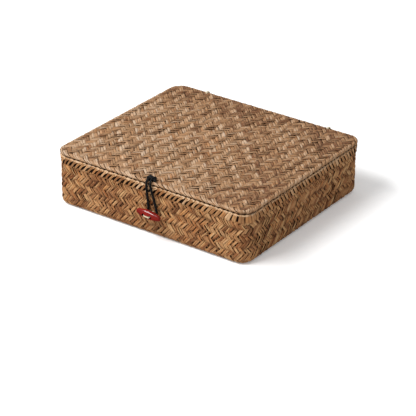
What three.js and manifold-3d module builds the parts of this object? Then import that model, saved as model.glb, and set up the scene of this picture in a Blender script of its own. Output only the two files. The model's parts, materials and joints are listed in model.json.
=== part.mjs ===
import * as THREE from "three";
import { mergeVertices } from "three/addons/utils/BufferGeometryUtils.js";
import Module from "manifold-3d";

const wasm = await Module();
wasm.setup();

// Whole box in millimetres, +Z up, origin at the middle of the underside, closure facing -Y
const boxHeight = 70;
const lidWidth = 280;
const lidDepth = 252;
const lidCorner = 17.5;
const lidThick = 5;
const lidOverhang = 2;
const lidSeat = 0.3;
const cornerSteps = 6;

// Plaited layers of the base and the mats of the lid
const outerThick = 1.7;
const liningThick = 1.6;
const layerGap = 0.3;
const footRound = 6;
const hemWidth = 12;

// Stiffening wires in the rim of the base and in the hem of the lid
const baseWire = 1.4;
const lidWire = 1.4;
const wireFit = 0.3;

// Folded strand edging over the rim of the base
const strandCount = 156;
const strandThick = 0.85;
const strandFit = 0.25;
const strandTopWidth = 5;
const strandFootWidth = 3.4;
const cornerSlim = 0.84;
const strandLean = 7.5;
const leanTurn = 26;
const edgingDrop = 10.3;
const bandDrop = 1.6;
const innerDrop = 7;
const bandRound = 0.4;

// Two thread ties that hinge the lid
const tieSpacing = 91;
const tieTight = 3.5;
const tieWrap = 1.65;
const tieHoleReach = 4.3;
const tieHole = 3.2;
const tieThread = 1.4;
const tieStrands = 1.2;
const tieKnot = 3.4;
const tieFit = 0.3;

// Cord loop knotted on the lid
const cord = 2.4;
const cordFit = 0.3;
const knotX = 2.6;
const knotInset = 3.9;
const knotTurns = 2;
const knotPitch = 2.7;
const knotHalfWidth = 3.2;
const knotHalfHeight = 2.1;
const tailReach = 8.4;
const legSpread = 2.7;
const anchorSpread = 2.6;
const anchorInset = 9.4;
const anchorDrop = 2.4;
const cordJoint = 0.3;
const loopLean = 4.6;
const loopHalfWidth = 5.9;

// Toggle bar with its sewing thread
const toggleX = 7.4;
const toggleZ = 31.3;
const toggleLength = 34.4;
const toggleRadius = 5.6;
const toggleEnd = 3.1;
const toggleDepth = 9.4;
const toggleRoll = THREE.MathUtils.degToRad(4);
const toggleTilt = THREE.MathUtils.degToRad(3.5);
const toggleStandOff = 9.4;
const holeSpread = 5;
const holeDiameter = 3.2;
const stitch = 1.1;
const shankDiameter = 2.2;
const shankKnot = 5.2;
const shankKnotThick = 1.8;
const sewFit = 0.3;

// Levels and insets that follow from the sizes above, insets measured inward from the lid outline
const lidUnder = boxHeight - lidThick;
const rimTop = lidUnder - lidSeat;
const edgeRadius = lidThick / 2;
const hinge = { y: lidDepth / 2 - edgeRadius, z: boxHeight - edgeRadius };
const outerTop = rimTop - strandThick - layerGap;
const liningInset = lidOverhang + outerThick + layerGap;
const innerInset = liningInset + liningThick;
const baseWireZ = outerTop - baseWire / 2;
const liningTop = baseWireZ - baseWire / 2 - wireFit;
const wallFront = -(lidDepth / 2 - lidOverhang);
const innerFront = -(lidDepth / 2 - innerInset);
const cornerX = lidWidth / 2 - lidCorner;
const cornerY = lidDepth / 2 - lidCorner;
const cordReach = edgeRadius + cordFit + cord / 2;
const knotY = -(lidDepth / 2 - knotInset);
const anchorY = -(lidDepth / 2 - anchorInset);

// Rounded rectangle drawn in by an inset, counter-clockwise from above
function ring(inset, z) {
  const centres = [[cornerX, cornerY], [-cornerX, cornerY], [-cornerX, -cornerY], [cornerX, -cornerY]];
  return centres.flatMap(([x, y], k) =>
    Array.from({ length: cornerSteps + 1 }, (_, i) => {
      const angle = ((k + i / cornerSteps) * Math.PI) / 2;
      const reach = lidCorner - inset;
      return [x + reach * Math.cos(angle), y + reach * Math.sin(angle), z];
    }),
  );
}

// Surface swept round the box through a profile of [inset, z] points, capped by flat ends or closed on itself
function sweepRound(profile, closed) {
  const rings = profile.map(([inset, z]) => ring(inset, z));
  const n = rings[0].length;
  const position = rings.flat();
  const index = [];
  const bands = closed ? rings.length : rings.length - 1;
  for (let r = 0; r < bands; r++) {
    const a = r * n;
    const b = ((r + 1) % rings.length) * n;
    for (let i = 0; i < n; i++) {
      const j = (i + 1) % n;
      index.push(a + i, a + j, b + j, a + i, b + j, b + i);
    }
  }
  if (!closed) {
    const last = (rings.length - 1) * n;
    for (let i = 1; i < n - 1; i++) index.push(0, i + 1, i, last, last + i, last + i + 1);
  }
  const geometry = new THREE.BufferGeometry();
  geometry.setAttribute("position", new THREE.Float32BufferAttribute(position.flat(), 3));
  geometry.setIndex(index);
  return geometry;
}

// Arc of [inset, z] points about a centre, angles in degrees with 0 pointing inward
function arc(inset, z, radius, from, to, steps) {
  return Array.from({ length: steps + 1 }, (_, i) => {
    const angle = THREE.MathUtils.degToRad(from + ((to - from) * i) / steps);
    return [inset + radius * Math.cos(angle), z + radius * Math.sin(angle)];
  });
}

function solid(geometry) {
  const bare = geometry.clone().deleteAttribute("normal").deleteAttribute("uv");
  const merged = mergeVertices(bare, 1e-4);
  return new wasm.Manifold(
    new wasm.Mesh({
      numProp: 3,
      vertProperties: new Float32Array(merged.attributes.position.array),
      triVerts: new Uint32Array(merged.index.array),
    }),
  );
}

function geometryOf(made) {
  const mesh = made.getMesh();
  const geometry = new THREE.BufferGeometry();
  geometry.setAttribute("position", new THREE.BufferAttribute(mesh.vertProperties, 3));
  geometry.setIndex(new THREE.BufferAttribute(mesh.triVerts, 1));
  return geometry;
}

function cut(geometry, ...cutters) {
  return geometryOf(cutters.reduce((left, c) => left.subtract(solid(c)), solid(geometry)));
}

function join(first, ...others) {
  return geometryOf(others.reduce((made, g) => made.add(solid(g)), solid(first)));
}

// Round cord along a smooth curve through points
function cordAlong(points, diameter, steps, sides = 8) {
  const path = new THREE.CatmullRomCurve3(points.map((p) => new THREE.Vector3(...p)));
  const section = new THREE.Shape().absarc(0, 0, diameter / 2, 0, 2 * Math.PI);
  return new THREE.ExtrudeGeometry(section, { extrudePath: path, steps, curveSegments: sides / 2 });
}

function rod(diameter, length) {
  return new THREE.CylinderGeometry(diameter / 2, diameter / 2, length, 12);
}

// Holes in the lid that slide round its ties as it opens, bent on a circle about the hinge line
const tieHoles = [-tieSpacing, tieSpacing].flatMap((x) =>
  [-0.5, 0.5].map((side) =>
    new THREE.TorusGeometry(tieHoleReach, tieHole / 2, 8, 30)
      .rotateY(Math.PI / 2)
      .translate(x + side * tieStrands, hinge.y, hinge.z),
  ),
);

// Tie of two strands: close round the edge of the lid, down through the hem and round the wire of the base
const tiedWire = [edgeRadius - liningInset - liningThick / 2, baseWireZ - hinge.z];
function tieLoops(x) {
  const [wireY, wireZ] = tiedWire;
  const about = (y, z, radius, deg) => {
    const angle = THREE.MathUtils.degToRad(deg);
    return [y + radius * Math.cos(angle), z + radius * Math.sin(angle)];
  };
  const roundEdge = [[-50, 0.1], [-20, 0], [10, 0], [40, 0], [70, 0], [100, 0], [130, 0.1], [155, 0.45], [180, 0.85]];
  const route = [
    ...roundEdge.map(([deg, slack]) => about(0, 0, tieTight + slack, deg)),
    about(0, 0, tieTight + 1.25, 203),
    ...[180, 225, 270].map((deg) => about(wireY, wireZ, tieWrap, deg)),
    [wireY + 2, wireZ - tieWrap + 0.05],
    [edgeRadius - 1, wireZ - 0.95],
    [edgeRadius - 0.2, wireZ + 0.35],
  ];
  return [-0.5, 0.5].map((side) => {
    const points = route.map(([y, z]) => new THREE.Vector3(x + side * tieStrands, hinge.y + y, hinge.z + z));
    return new THREE.TubeGeometry(new THREE.CatmullRomCurve3(points, true), 36, tieThread / 2, 6, true);
  });
}

// Notches in the rim of the base where the ties pass under its wire
const notchDepth = tieWrap + tieThread / 2 + tieFit;
const tieNotches = [-tieSpacing, tieSpacing].map((x) =>
  new THREE.BoxGeometry(tieStrands + tieThread + 2 * tieFit, 6 * notchDepth, 2 * notchDepth)
    .translate(x, hinge.y + tiedWire[0] + 2 * notchDepth, baseWireZ),
);

// Base: outer plait, lining, rim wire
const footCentre = lidOverhang + footRound;
const liningRound = footRound - (liningInset - lidOverhang);
const innerRound = footRound - (innerInset - lidOverhang);
const outerRound = footRound - outerThick;
const wallThick = innerInset - lidOverhang;
const shankHole = rod(shankDiameter + 2 * sewFit, 3 * wallThick)
  .translate(toggleX, wallFront + wallThick / 2, toggleZ);

const baseOuter = cut(
  sweepRound([
    ...arc(footCentre, footRound, footRound, 270, 180, 4),
    [lidOverhang, outerTop],
    [lidOverhang + outerThick, outerTop],
    ...arc(footCentre, footRound, outerRound, 180, 270, 3),
  ]),
  ...tieNotches,
  shankHole,
);

const baseLining = cut(
  sweepRound([
    ...arc(footCentre, footRound, liningRound, 270, 180, 3),
    [liningInset, liningTop],
    [innerInset, liningTop],
    ...arc(footCentre, footRound, innerRound, 180, 270, 3),
  ]),
  ...tieNotches,
  shankHole,
);

const baseRimWire = sweepRound(
  arc(liningInset + liningThick / 2, baseWireZ, baseWire / 2, 0, -360, 8).slice(0, 8),
  true,
);

// Point on the wall outline at a distance along it, starting at the left end of the front
const straight = [2 * cornerX, 2 * cornerY, 2 * cornerX, 2 * cornerY];
const wallCorner = lidCorner - lidOverhang;
const cornerArc = (wallCorner * Math.PI) / 2;
const rimLength = straight.reduce((sum, s) => sum + s + cornerArc, 0);
function rimStation(distance) {
  let left = ((distance % rimLength) + rimLength) % rimLength;
  let side = 0;
  while (side < 3 && left > straight[side] + cornerArc) left -= straight[side++] + cornerArc;
  const travel = (side * Math.PI) / 2;
  const heading = travel - Math.PI / 2 + Math.max(0, left - straight[side]) / wallCorner;
  return { side, travel, heading, along: Math.min(left, straight[side]) };
}
function onRim(distance, inset, z) {
  const { side, travel, heading, along } = rimStation(distance);
  const [sx, sy] = [[-1, -1], [1, -1], [1, 1], [-1, 1]][side];
  const reach = lidCorner - inset;
  return [
    sx * cornerX + along * Math.cos(travel) + reach * Math.cos(heading),
    sy * cornerY + along * Math.sin(travel) + reach * Math.sin(heading),
    z,
  ];
}

// Lean of a folded strand: one way on the front and back, the other on the sides, turning at each corner
function leanAt(distance) {
  let middle = -cornerArc / 2;
  for (let side = 0; side < 5; side++) {
    const before = middle - distance;
    if (Math.abs(before) < leanTurn) return ((side % 2 ? 1 : -1) * strandLean * before) / leanTurn;
    middle += straight[side % 4] + cornerArc;
  }
  return rimStation(distance).side % 2 ? -strandLean : strandLean;
}

// One folded strand leaning down the outside of the rim
const strandOut = lidOverhang - strandFit - strandThick;
const strandIn = lidOverhang - strandFit;
const strandRoot = rimTop - bandRound;
function foldedStrand(start) {
  const lean = leanAt(start);
  const reached = [0, strandTopWidth, -lean, strandFootWidth - lean].map((d) => rimStation(start + d).heading);
  const turns = reached.some((heading) => heading !== reached[0]);
  const levels = turns ? 5 : 2;
  const slim = turns ? cornerSlim : 1;
  const foot = 4 * (levels - 1);
  const position = [];
  for (let k = 0; k < levels; k++) {
    const t = k / (levels - 1);
    const width = slim * (strandTopWidth + (strandFootWidth - strandTopWidth) * t);
    const left = start - lean * t;
    const z = strandRoot - (edgingDrop - bandRound) * t;
    const inset = strandOut + 0.02;
    position.push(onRim(left, inset, z), onRim(left + width, inset, z));
    position.push(onRim(left + width, strandIn, z), onRim(left, strandIn, z));
  }
  const index = [0, 1, 2, 0, 2, 3, foot, foot + 2, foot + 1, foot, foot + 3, foot + 2];
  for (let k = 0; k < levels - 1; k++) {
    for (let i = 0; i < 4; i++) {
      const a = 4 * k + i;
      const b = 4 * k + ((i + 1) % 4);
      index.push(a, a + 4, b, b, a + 4, b + 4);
    }
  }
  const geometry = new THREE.BufferGeometry();
  geometry.setAttribute("position", new THREE.Float32BufferAttribute(position.flat(), 3));
  geometry.setIndex(index);
  return geometry;
}

// Edging band over the rim with its row of folded strands
const bandIn = innerInset + strandFit;
const band = sweepRound(
  [
    [strandOut, rimTop - bandDrop],
    [strandOut, rimTop - bandRound],
    [strandOut + bandRound, rimTop],
    [bandIn + strandThick - bandRound, rimTop],
    [bandIn + strandThick, rimTop - bandRound],
    [bandIn + strandThick, rimTop - innerDrop],
    [bandIn, rimTop - innerDrop],
    [bandIn, rimTop - strandThick],
    [strandIn, rimTop - strandThick],
    [strandIn, rimTop - bandDrop],
  ],
  true,
);
const strands = Array.from({ length: strandCount }, (_, i) => foldedStrand((i * rimLength) / strandCount));
const baseRimEdging = cut(join(band, ...strands), ...tieNotches);

// Lid: upper mat with its hem folded round the wire, lower mat inside the hem
const channel = lidWire / 2 + wireFit;
const slitAngle = THREE.MathUtils.radToDeg(Math.asin(layerGap / 2 / channel));
const anchorHole = rod(cord + 2 * cordFit, 2 * lidThick).rotateX(Math.PI / 2);
const anchorHoles = [-1, 1].map((side) =>
  anchorHole.clone().translate(knotX + side * anchorSpread, anchorY, hinge.z),
);

const lidOuter = cut(
  sweepRound([
    [hemWidth, hinge.z + layerGap / 2],
    ...arc(edgeRadius, hinge.z, channel, slitAngle, 360 - slitAngle, 8),
    [hemWidth, hinge.z - layerGap / 2],
    [hemWidth, lidUnder],
    ...arc(edgeRadius, hinge.z, edgeRadius, 270, 90, 8),
  ]),
  ...tieHoles,
  ...anchorHoles,
);

const lidLining = sweepRound([
  [hemWidth + layerGap, lidUnder],
  [hemWidth + layerGap, hinge.z - layerGap / 2],
]);

const lidRimWire = sweepRound(arc(edgeRadius, hinge.z, lidWire / 2, 0, -360, 8).slice(0, 8), true);

// Thread ties, each with its knot low on the outside
function hingeTie(x) {
  const out = lidDepth / 2 - strandOut + tieKnot / 2 + 0.2;
  const knot = new THREE.SphereGeometry(tieKnot / 2, 8, 6).translate(x, out, baseWireZ - 0.25);
  return join(...tieLoops(x), knot);
}

// Cord on the lid: over the front edge, through the hem and back, with two turns and a tail
const frontY = -hinge.y;
const knotZ = boxHeight + cordFit + knotHalfHeight + cord / 2;
function legOverEdge(side) {
  return [0, 30, 60, 78].map((deg) => {
    const angle = THREE.MathUtils.degToRad(deg);
    const x = knotX + side * legSpread * (1 - 0.13 * (deg / 90));
    return [x, frontY - cordReach * Math.cos(angle), hinge.z + cordJoint + cordReach * Math.sin(angle)];
  });
}
function legToAnchor(side) {
  const x = knotX + side * anchorSpread;
  return [
    [knotX + side * 0.52 * cord, knotY - 0.5 * cord, knotZ - 0.17 * cord],
    [knotX + side * 0.56 * cord, knotY + 0.17 * cord, knotZ - 0.04 * cord],
    [x - side * 0.17 * cord, anchorY - 0.3 * cord, knotZ - 0.3 * cord],
    [x, anchorY, boxHeight + 0.5 * cord],
    [x, anchorY, hinge.z],
    [x, anchorY, lidUnder + 0.12 * cord],
    [x - side * 0.37 * cord, anchorY, lidUnder - 0.75 * anchorDrop],
  ];
}
const anchorBar = [knotX, anchorY, lidUnder - anchorDrop];
const lidCord = cordAlong(
  [
    ...legOverEdge(-1),
    ...legToAnchor(-1),
    anchorBar,
    ...legToAnchor(1).reverse(),
    ...legOverEdge(1).reverse(),
  ],
  cord,
  60,
);
const wrap = cordAlong(
  Array.from({ length: knotTurns * 12 + 1 }, (_, i) => {
    const angle = (i / 12) * 2 * Math.PI;
    const y = knotY + knotPitch * (i / 12 - knotTurns / 2);
    return [knotX + knotHalfWidth * Math.cos(angle), y, knotZ + knotHalfHeight * Math.sin(angle)];
  }),
  cord * 0.9,
  36,
);
const tail = cordAlong(
  [
    [knotX + 0.4 * cord, knotY + 0.4 * cord, knotZ + 0.17 * cord],
    [knotX + 0.55 * tailReach, knotY - 0.25 * cord, knotZ - 0.17 * cord],
    [knotX + tailReach, knotY - 0.67 * cord, boxHeight + cordFit + cord / 2],
  ],
  cord,
  8,
);
const loopKnot = join(lidCord, wrap, tail);

// Free part of the loop: down the front, behind the toggle and under its shank
const cordOnWall = wallFront - cordFit - cord / 2;
const loopDrop = shankDiameter / 2 + cord / 2 + 2 * sewFit;
const loopCentre = knotX + loopLean;
const loopReach = hinge.z - toggleZ;
function loopLeg(side) {
  const x = (t) => knotX + loopLean * t + side * (legSpread + (loopHalfWidth - legSpread) * t);
  return [
    [x(0), frontY - cordReach, hinge.z - cordJoint],
    [x(0.2), frontY - cordReach, hinge.z - 0.2 * loopReach],
    [x(0.55), cordOnWall - 0.37 * cord, hinge.z - 0.5 * loopReach],
    [x(0.9), cordOnWall, hinge.z - 0.86 * loopReach],
  ];
}
const loopBend = [180, 225, 270, 315, 360].map((deg) => {
  const angle = THREE.MathUtils.degToRad(deg);
  return [loopCentre + loopHalfWidth * Math.cos(angle), cordOnWall, toggleZ + loopDrop * Math.sin(angle)];
});
const closureLoop = cordAlong([...loopLeg(-1), ...loopBend, ...loopLeg(1).reverse()], cord, 60);

// Toggle bar turned on its length, flattened front to back, drilled twice
const toggleY = wallFront - toggleStandOff;
const half = toggleLength / 2;
const toggleProfile = [
  [0, -half],
  [0.62 * toggleEnd, -half + 0.17 * toggleEnd],
  [toggleEnd, -half + 0.65 * toggleEnd],
  [0.5 * (toggleEnd + toggleRadius), -0.62 * half],
  [0.96 * toggleRadius, -0.3 * half],
  [toggleRadius, 0],
];
const turned = [...toggleProfile, ...toggleProfile.slice(0, -1).reverse().map(([r, x]) => [r, -x])];
const toggleHole = rod(holeDiameter, 3 * toggleRadius);
const toggleHoles = [-1, 1].map((side) => toggleHole.clone().translate(side * holeSpread, 0, 0));
const toggleBar = cut(
  new THREE.LatheGeometry(turned.map(([r, x]) => new THREE.Vector2(r, x)), 18)
    .rotateZ(-Math.PI / 2)
    .scale(1, toggleDepth / (2 * toggleRadius), 1),
  ...toggleHoles,
)
  .rotateX(toggleRoll)
  .rotateY(toggleTilt)
  .translate(toggleX, toggleY, toggleZ);

// Sewing thread through both holes, meeting in front of the shank
const face = toggleDepth / 2;
const meet = toggleStandOff - (cord + cordFit) - sewFit - 0.55 * stitch;
function sewn(x, reach) {
  const spot = new THREE.Vector3(x, -reach, 0).applyEuler(new THREE.Euler(toggleRoll, toggleTilt, 0, "YXZ"));
  return [toggleX + spot.x, toggleY + spot.y, toggleZ + spot.z];
}
const toggleStitch = join(
  cordAlong(
    [
      [toggleX - 0.55 * stitch, toggleY + meet, toggleZ],
      sewn(-holeSpread, -face - 0.45 * stitch),
      sewn(-holeSpread, -face + stitch),
      sewn(-holeSpread, face - 0.67 * stitch),
      sewn(-holeSpread + stitch, face + 0.67 * stitch),
      sewn(holeSpread - stitch, face + 0.67 * stitch),
      sewn(holeSpread, face - 0.67 * stitch),
      sewn(holeSpread, -face + stitch),
      sewn(holeSpread, -face - 0.45 * stitch),
      [toggleX + 0.55 * stitch, toggleY + meet, toggleZ],
    ],
    stitch,
    44,
    6,
  ),
  new THREE.SphereGeometry(0.85 * stitch, 8, 6).translate(toggleX, toggleY + meet, toggleZ),
);

// Wound shank through the wall, knotted inside
const shankFront = toggleY + meet + 0.85 * stitch + sewFit;
const shankBack = innerFront + sewFit;
const toggleShank = new THREE.LatheGeometry(
  [
    [0, shankFront],
    [0.8 * (shankDiameter / 2), shankFront],
    [shankDiameter / 2, shankFront + 0.27 * (shankDiameter / 2)],
    [shankDiameter / 2, shankBack],
    [0.85 * (shankKnot / 2), shankBack],
    [shankKnot / 2, shankBack + shankKnotThick / 2],
    [0.6 * (shankKnot / 2), shankBack + shankKnotThick],
    [0, shankBack + shankKnotThick],
  ].map(([r, y]) => new THREE.Vector2(r, y)),
  12,
).translate(toggleX, 0, toggleZ);

const seagrass = new THREE.MeshStandardMaterial({ color: 0xb08a58, roughness: 0.7 });
const seagrassFold = new THREE.MeshStandardMaterial({ color: 0xc49a63, roughness: 0.65 });
const seagrassInner = new THREE.MeshStandardMaterial({ color: 0xa27c4e, roughness: 0.75 });
const steelWire = new THREE.MeshStandardMaterial({ color: 0x8d8f92, metalness: 0.9, roughness: 0.4 });
const blackCord = new THREE.MeshStandardMaterial({ color: 0x17181a, roughness: 0.75 });
const redLacquer = new THREE.MeshStandardMaterial({ color: 0x9c2f22, roughness: 0.15 });
const creamThread = new THREE.MeshStandardMaterial({ color: 0xe6dcc0, roughness: 0.8 });

const pieces = [
  ["base_outer", baseOuter, seagrass],
  ["base_lining", baseLining, seagrassInner],
  ["base_rim_wire", baseRimWire, steelWire],
  ["base_rim_edging", baseRimEdging, seagrassFold],
  ["lid_outer", lidOuter, seagrass],
  ["lid_lining", lidLining, seagrassInner],
  ["lid_rim_wire", lidRimWire, steelWire],
  ["hinge_tie_left", hingeTie(-tieSpacing), creamThread],
  ["hinge_tie_right", hingeTie(tieSpacing), creamThread],
  ["loop_knot", loopKnot, blackCord],
  ["closure_loop", closureLoop, blackCord],
  ["toggle_bar", toggleBar, redLacquer],
  ["toggle_stitch", toggleStitch, creamThread],
  ["toggle_shank", toggleShank, creamThread],
];

const box = new THREE.Group();
for (const [name, geometry, material] of pieces) {
  const mesh = new THREE.Mesh(geometry, material);
  mesh.name = name;
  box.add(mesh);
}

export default box;
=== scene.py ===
import json
from functools import partial
from math import cos, hypot, pi, radians, sin

import bmesh
import bpy
import numpy as np
from mathutils import Matrix, Vector

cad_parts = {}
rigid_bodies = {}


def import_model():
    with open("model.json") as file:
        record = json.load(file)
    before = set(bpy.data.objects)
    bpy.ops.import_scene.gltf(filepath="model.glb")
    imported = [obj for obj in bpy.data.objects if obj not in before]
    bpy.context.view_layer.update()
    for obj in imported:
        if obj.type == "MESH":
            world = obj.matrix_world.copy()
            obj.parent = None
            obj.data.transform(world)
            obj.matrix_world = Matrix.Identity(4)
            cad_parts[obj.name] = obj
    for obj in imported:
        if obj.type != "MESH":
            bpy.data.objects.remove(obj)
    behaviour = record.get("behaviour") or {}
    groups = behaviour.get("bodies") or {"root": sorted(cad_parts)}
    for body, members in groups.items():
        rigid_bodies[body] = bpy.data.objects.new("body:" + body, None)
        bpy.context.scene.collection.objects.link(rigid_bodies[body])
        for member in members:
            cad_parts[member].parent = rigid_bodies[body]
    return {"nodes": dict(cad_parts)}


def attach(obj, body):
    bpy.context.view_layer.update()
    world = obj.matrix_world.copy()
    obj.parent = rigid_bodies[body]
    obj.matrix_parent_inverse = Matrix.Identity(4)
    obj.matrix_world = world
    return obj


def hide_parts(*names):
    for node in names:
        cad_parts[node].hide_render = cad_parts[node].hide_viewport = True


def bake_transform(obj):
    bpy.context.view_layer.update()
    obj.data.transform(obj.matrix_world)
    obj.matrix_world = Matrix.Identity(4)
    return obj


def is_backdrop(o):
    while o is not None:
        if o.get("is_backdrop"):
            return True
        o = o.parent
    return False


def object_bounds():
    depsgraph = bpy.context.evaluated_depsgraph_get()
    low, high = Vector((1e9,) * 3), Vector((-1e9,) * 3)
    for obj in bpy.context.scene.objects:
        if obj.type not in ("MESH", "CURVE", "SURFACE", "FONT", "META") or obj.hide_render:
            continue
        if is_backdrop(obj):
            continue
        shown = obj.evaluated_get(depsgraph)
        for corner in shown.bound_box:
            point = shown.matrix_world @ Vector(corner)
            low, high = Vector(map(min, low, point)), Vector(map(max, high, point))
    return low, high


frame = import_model()
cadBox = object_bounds()
scene = bpy.context.scene
scene.view_settings.view_transform = "Standard"
print("frame loaded with", len(frame["nodes"]), "nodes")
mm = 0.001


def addObject(name, data):
    thing = bpy.data.objects.new(name, data)
    scene.collection.objects.link(thing)
    return thing


# Camera at the photograph's place, found from the lines of the box
cameraPlan = {
    "place": (1.15200, -1.65601, 1.02078), "azimuth": 34.861, "elevation": 27.232, "roll": 0.877,
    "lens": 160.02, "sensor": 36.0, "near": 0.05, "far": 50,
}


def placeCamera(plan):
    azimuth, elevation, roll = (radians(plan[k]) for k in ("azimuth", "elevation", "roll"))
    flat = cos(elevation)
    back = Vector((sin(azimuth) * flat, -cos(azimuth) * flat, sin(elevation)))
    level = (-back).cross(Vector((0, 0, 1))).normalized()
    upright = level.cross(-back)
    right = cos(roll) * level + sin(roll) * upright
    up = -sin(roll) * level + cos(roll) * upright
    data = bpy.data.cameras.new("boxCamera")
    data.lens, data.sensor_width = plan["lens"], plan["sensor"]
    data.clip_start, data.clip_end = plan["near"], plan["far"]
    camera = addObject("boxCamera", data)
    turned = Matrix((right, up, back)).transposed().to_4x4()
    camera.matrix_world = Matrix.Translation(plan["place"]) @ turned
    scene.camera = camera


placeCamera(cameraPlan)
print("camera placed")


# Node trees: feeds are sockets or plain values, by the name or the number of the input
def feed(tree, node, feeds):
    for key, value in feeds.items() if isinstance(feeds, dict) else enumerate(feeds):
        if isinstance(value, bpy.types.NodeSocket):
            tree.links.new(value, node.inputs[key])
        else:
            node.inputs[key].default_value = value


def addNode(tree, kind, feeds=(), **settings):
    node = tree.nodes.new(kind)
    for key, value in settings.items():
        setattr(node, key, value)
    feed(tree, node, feeds)
    return node


def maths(tree, operation, *feeds):
    return addNode(tree, "ShaderNodeMath", feeds, operation=operation).outputs[0]


def sums(tree):
    return [partial(maths, tree, operation) for operation in ("ADD", "SUBTRACT", "MULTIPLY")]


def joinXyz(tree, *feeds):
    return addNode(tree, "ShaderNodeCombineXYZ", feeds).outputs[0]


def ranged(tree, value, low, high, toLow, toHigh):
    return addNode(tree, "ShaderNodeMapRange", [value, low, high, toLow, toHigh]).outputs[0]


def mixed(tree, amount, first, second, kind="MIX"):
    feeds = {0: amount, 6: first, 7: second}
    return addNode(tree, "ShaderNodeMix", feeds, data_type="RGBA", blend_type=kind).outputs[2]


def noise(tree, vector, scale, detail, **more):
    feeds = {"Vector": vector, "Scale": scale, "Detail": detail, **more}
    return addNode(tree, "ShaderNodeTexNoise", feeds).outputs[0]


def fieldsOf(tree, *names):
    return [addNode(tree, "ShaderNodeAttribute", attribute_name=name).outputs["Fac"] for name in names]


def objectPlace(tree):
    return addNode(tree, "ShaderNodeTexCoord").outputs["Object"]


def newGroup(name, kind, inputs, outputs):
    tree = bpy.data.node_groups.new(name, kind)
    for way, sockets in (("INPUT", inputs), ("OUTPUT", outputs)):
        for label, socketKind in sockets.items():
            tree.interface.new_socket(label, in_out=way, socket_type="NodeSocket" + socketKind)
    return tree, tree.nodes.new("NodeGroupInput").outputs, tree.nodes.new("NodeGroupOutput").inputs


def newMaterial(name):
    material = bpy.data.materials.new(name)
    material.use_nodes = True
    return material, material.node_tree


# Feeds of the shader, with a bump of some strength and depth
def dress(material, height, strength, depth, feeds):
    tree = material.node_tree
    bump = addNode(tree, "ShaderNodeBump", {"Strength": strength, "Distance": depth, "Height": height})
    feed(tree, tree.nodes["Principled BSDF"], {**feeds, "Normal": bump.outputs[0]})
    return material


def srgb(*levels):
    parts = [c / 255 for c in levels]
    return tuple(c / 12.92 if c <= 0.04045 else ((c + 0.055) / 1.055) ** 2.4 for c in parts) + (1.0,)


# Flat strands that follow guide lines and pass over and under each other
def buildPlaitTree():
    tree, given, made = newGroup("plaitedStrands", "GeometryNodeTree", {
        "Guides": "Geometry", "Strand Width": "Float", "Strand Thickness": "Float", "Lift": "Float",
        "Hold": "Float", "Over Share": "Float", "Section Points": "Int", "Finish": "Material",
    }, {"Strands": "Geometry"})
    plus, _, times = sums(tree)

    def attribute(name, kind="FLOAT"):
        return addNode(tree, "GeometryNodeInputNamedAttribute", {"Name": name}, data_type=kind).outputs[0]

    def step(kind, shape, feeds=(), **settings):
        return addNode(tree, "GeometryNode" + kind, {0: shape, **dict(feeds)}, **settings).outputs[0]

    facing = attribute("facing", "FLOAT_VECTOR")
    wave = maths(tree, "COSINE", times(attribute("rise"), pi / 2))
    wave = maths(tree, "TANH", times(plus(wave, given["Over Share"]), given["Hold"]))
    rise = times(times(wave, given["Lift"]), attribute("loft"))
    push = addNode(tree, "ShaderNodeVectorMath", {0: facing, "Scale": rise}, operation="SCALE").outputs[0]
    lines = step("StoreNamedAttribute", given["Guides"], {"Name": "lift", "Value": wave})
    lines = step("SetPosition", lines, {"Offset": push})
    lines = step("MeshToCurve", lines)
    lines = step("SetCurveNormal", lines, {"Normal": facing}, mode="FREE")

    sizes = {"Resolution": given["Section Points"], "Radius": 1.0}
    ring = addNode(tree, "GeometryNodeCurvePrimitiveCircle", sizes)
    spot = addNode(tree, "ShaderNodeSeparateXYZ", [addNode(tree, "GeometryNodeInputPosition").outputs[0]])
    section = step("StoreNamedAttribute", ring.outputs[0], {"Name": "across", "Value": spot.outputs[1]})
    half = joinXyz(tree, times(given["Strand Thickness"], 0.5), times(given["Strand Width"], 0.5), 1.0)
    section = step("Transform", section, {"Scale": half})

    sweep = {"Profile Curve": section, "Scale": attribute("girth"), "Fill Caps": True}
    skin = step("SetShadeSmooth", step("CurveToMesh", lines, sweep))
    skin = step("SetMaterial", skin, {"Material": given["Finish"]})
    tree.links.new(step("RealizeInstances", skin), made["Strands"])
    return tree


plaitTree = buildPlaitTree()


def runOf(line):
    return np.concatenate([[0], np.cumsum(np.linalg.norm(np.diff(line, axis=0), axis=1))])


# Guide lines: each strand is a run of points in millimetres, with the way that its flat side faces
def guideMesh(name, strands):
    points, edges, start = [], [], 0
    values = {key: [] for key in ("facing", "rise", "along", "tone", "girth", "loft")}
    usual = {"rise": 0.0, "tone": 0.5, "girth": 1.0, "loft": 1.0}
    for strand in strands:
        count = len(strand["points"])
        points.append(strand["points"])
        edges.append(np.stack([np.arange(count - 1), np.arange(1, count)], 1) + start)
        values["along"].append(runOf(strand["points"]))
        values["facing"].append(strand["facing"])
        for key, value in usual.items():
            values[key].append(np.broadcast_to(strand.get(key, value), count))
        start += count
    mesh = bpy.data.meshes.new(name)
    mesh.from_pydata((np.concatenate(points) * mm).tolist(), np.concatenate(edges).tolist(), [])
    for key, parts in values.items():
        kind, field = ("FLOAT_VECTOR", "vector") if key == "facing" else ("FLOAT", "value")
        layer = mesh.attributes.new(key, kind, "POINT")
        layer.data.foreach_set(field, np.concatenate(parts).astype(np.float32).ravel())
    return mesh


def closedMesh(name, made):
    bmesh.ops.recalc_face_normals(made, faces=made.faces)
    mesh = bpy.data.meshes.new(name)
    made.to_mesh(mesh)
    made.free()
    return mesh


def evaluatedMesh(thing):
    return bpy.data.meshes.new_from_object(thing.evaluated_get(bpy.context.evaluated_depsgraph_get()))


def discard(thing):
    mesh = thing.data
    bpy.data.objects.remove(thing)
    bpy.data.meshes.remove(mesh)


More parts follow.
